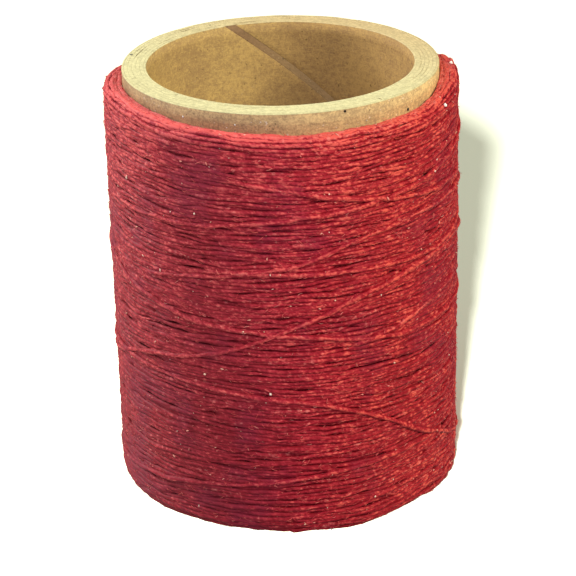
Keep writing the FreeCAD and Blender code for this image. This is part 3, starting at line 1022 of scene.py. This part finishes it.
def makeCrumbs(rings, rng):
    # Each is a few rings on a short straight path, wide in the middle, with every point moved a little.
    azimuths, heights, sizes, tones = np.array(lumps).T
    around = np.radians(azimuths)
    places = np.stack([np.cos(around), np.sin(around)], -1) * fluff["lumpRadius"]
    places = np.column_stack([places, heights])
    middles = rings.mean(1)
    nearest = [np.linalg.norm(middles - place, axis=1).argmin() for place in places]
    scattered = rng.integers(0, len(rings), fluff["crumbs"])
    numbers = [len(nearest), len(scattered)]
    count = sum(numbers)
    chosen = rings[np.concatenate([nearest, scattered])]
    root, outward, ahead, aside = footingOf(chosen, rng, np.repeat(fluff["crumbSpread"], numbers))
    small = rng.uniform(*fluff["crumbRadius"], len(scattered)) * rng.uniform(0.6, 1.0, len(scattered))
    size = np.concatenate([sizes, small])
    spin = rng.uniform(0, turn, count)[:, None]
    axis = ahead * np.cos(spin) + aside * np.sin(spin)
    share = np.linspace(-1, 1, 4)
    reach = size * rng.uniform(0.8, np.repeat(fluff["crumbLength"], numbers))
    path = root[:, None] + reach[:, None, None] * share[:, None] * axis[:, None]
    path = path + outward[:, None] * size[:, None, None] * 0.35
    thickness = size[:, None] * np.array([0.45, 1.0, 0.9, 0.4]) * rng.uniform(0.7, 1.15, (count, 4))
    crumbs = ringsAlong(path, np.broadcast_to(outward[:, None], path.shape), thickness, 6)
    crumbs = crumbs + rng.normal(0, 0.12, crumbs.shape) * size[:, None, None, None]
    tone = np.concatenate([tones, 0.9 * rng.random(len(scattered)) ** 1.3])
    tubes = [(crumb, share, np.full((4, 2), mark)) for crumb, mark in zip(crumbs, tone)]
    finish = Finish("lint and wax", Roughness=0.55, Specular_IOR_Level=0.4)
    lint = finish.close(Base_Color=finish.ramp(finish.mark("tone"), crumbTones))
    finishPiece(joinTubes("lint_and_wax_crumbs", tubes, 6, 40), lint, "waxed_thread")


def makeFluff(rings):
    rng = np.random.default_rng(fluff["seed"])
    makeHairs(rings, rng)
    makeCrumbs(rings, rng)
    print("fluff: %d fibres and %d crumbs" % (fluff["hairs"], fluff["crumbs"]))


# Floor, light and camera

studio = dict(
    floorSize=3000.0,
    floorHeight=-0.02,
    floorSeen=(2.20, 2.27, 1.83),      # the floor's colour to the camera, and to the object
    floorLit=(0.45, 0.45, 0.43),
    cameraPlace=(0.346, -296.229, 159.806),
    cameraAim=(0.346, 0.0, 28.22),
    cameraRoll=-1.345,
    focalPixels=2182.45,       # focal length in pixels of a picture 576 wide
    pictureWidth=576,
    worldTint=(1.0, 0.99, 0.92),
    worldStrength=0.24,
)
# Lamps: azimuth, elevation, distance, diameter, light and tint. The light is about the brightness of a white
# face that looks at the lamp. The last one lights the floor alone.
lamps = dict(
    right=(338, 36, 700, 200, 0.94, (1.0, 0.95, 0.74)),
    left=(176, 24, 700, 420, 0.38, (1.0, 0.98, 0.97)),
    window=(150, 30, 700, 260, 0.95, (1.0, 0.98, 0.94)),
    overhead=(262, 68, 230, 90, 0.18, (1.0, 1.0, 1.0)),
    front=(270, 36, 700, 420, 0.42, (0.90, 0.93, 1.15)),
    flash=(263.5, 25.9, 750, 45, 1.75, (1.0, 1.0, 1.0)),
)


def aimed(place, target, roll=0.0):
    # turns an object at place so that its -Z looks at the target
    away = (Vector(place) - Vector(target)).normalized()
    right = Vector((0, 0, 1)).cross(away).normalized()
    up = away.cross(right)
    turned = Matrix((right, up, away)).transposed().to_4x4()
    turned = turned @ Matrix.Rotation(math.radians(roll), 4, "Z")
    turned.translation = Vector(place) * mm
    return turned


def makeCamera():
    data = bpy.data.cameras.new("camera")
    data.sensor_width = 36.0
    data.lens = data.sensor_width * studio["focalPixels"] / studio["pictureWidth"]
    data.clip_start, data.clip_end = 0.01, 20
    camera = bpy.data.objects.new("camera", data)
    bpy.context.scene.collection.objects.link(camera)
    camera.matrix_world = aimed(studio["cameraPlace"], studio["cameraAim"], studio["cameraRoll"])
    bpy.context.scene.camera = camera


def makeLamp(name, azimuth, elevation, distance, size, light, tint):
    data = bpy.data.lights.new(name, "AREA")
    data.shape = "DISK"
    data.size = size * mm
    data.energy = light * math.pi * math.pi * (distance * mm) ** 2
    data.color = tint
    lamp = bpy.data.objects.new(name, data)
    bpy.context.scene.collection.objects.link(lamp)
    flat, tall = math.radians(azimuth), math.radians(elevation)
    centre = (0, 0, tubeHigh / 2)
    place = (distance * math.cos(tall) * math.cos(flat), distance * math.cos(tall) * math.sin(flat),
             centre[2] + distance * math.sin(tall))
    lamp.matrix_world = aimed(place, centre)
    return lamp


def makeStudio():
    half = studio["floorSize"] / 2
    corners = np.array([(-half, -half), (half, -half), (half, half), (-half, half)])
    floor = makeMesh("floor", np.insert(corners, 2, studio["floorHeight"], axis=1), np.array([[0, 1, 2, 3]]))
    finish = Finish("floor")
    rays = finish.node("ShaderNodeLightPath", output="Is Camera Ray")
    seen = finish.node("ShaderNodeBsdfDiffuse", {}, {"Color": studio["floorSeen"]})
    lit = finish.node("ShaderNodeBsdfDiffuse", {}, {"Color": studio["floorLit"]})
    mixed = finish.node("ShaderNodeMixShader", {}, {0: rays, 1: lit, 2: seen})
    finish.set(finish.tree.nodes["Material Output"], {"Surface": mixed})
    floor.data.materials.append(finish.material)
    world = bpy.data.worlds.new("studio")
    world.use_nodes = True
    background = world.node_tree.nodes["Background"]
    background.inputs["Color"].default_value = (*studio["worldTint"], 1)
    background.inputs["Strength"].default_value = studio["worldStrength"]
    bpy.context.scene.world = world
    lights = [makeLamp(name, *lamp) for name, lamp in lamps.items()]
    # the flash lights the floor alone, and the others all but the floor, so that it keeps one plain shadow
    for name, chosen, state in (("all but the floor", lights[:-1], "EXCLUDE"),
                                ("floor only", lights[-1:], "INCLUDE")):
        group = bpy.data.collections.new(name)
        group.objects.link(floor)
        group.collection_objects[0].light_linking.link_state = state
        for light in chosen:
            light.light_linking.receiver_collection = group
    print("studio: %d lamps" % len(lights))


bpy.context.scene.view_settings.view_transform = "Standard"
makeCamera()
makeTube()
makeSpecks()
makeFluff(makeWinding())
makeStudio()
